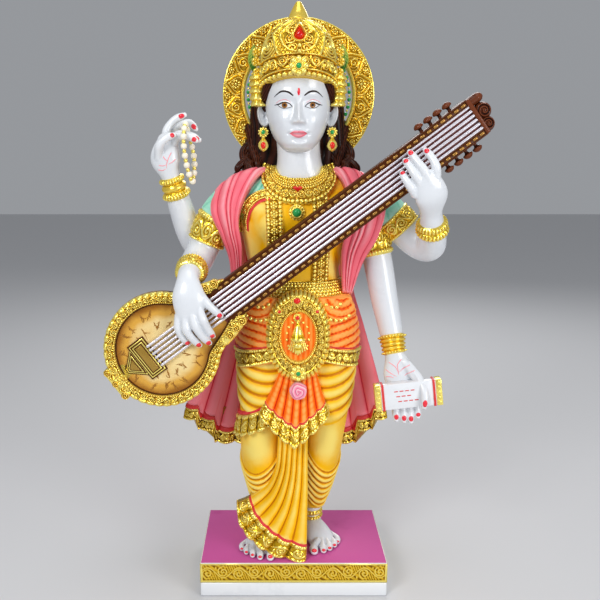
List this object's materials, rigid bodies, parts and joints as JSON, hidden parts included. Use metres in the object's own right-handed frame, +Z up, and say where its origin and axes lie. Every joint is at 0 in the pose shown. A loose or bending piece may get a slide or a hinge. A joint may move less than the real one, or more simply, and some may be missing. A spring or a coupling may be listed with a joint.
{
  "type": "saraswati figure",
  "caption": "Standing marble figure with a stringed instrument, book and prayer beads, painted and gilded, on a rectangular plinth",
  "frame": {"origin": "middle of the plinth's underside", "axes": "+Z up, -Y the way the figure faces, +X to the right of someone who looks at its front"},
  "size_m": [0.3885, 0.1446, 0.61],
  "materials": {
    "painted_marble": "polished white marble",
    "pearl": "polished nacre",
    "gilding": "gold leaf on carved marble",
    "rose_paint": "satin paint on carved marble",
    "yellow_paint": "satin paint on carved marble",
    "orange_paint": "satin paint on carved marble",
    "teal_paint": "satin paint on carved marble",
    "magenta_paint": "satin paint on carved marble",
    "hair_paint": "dark paint on carved marble",
    "gourd_paint": "parchment paint on carved marble",
    "rail_paint": "brown paint on carved marble",
    "silver_paint": "silver paint on carved marble"
  },
  "bodies": {
    "root": {"figure": "painted_marble", "prayer_beads": "pearl"}
  },
  "joints": []
}
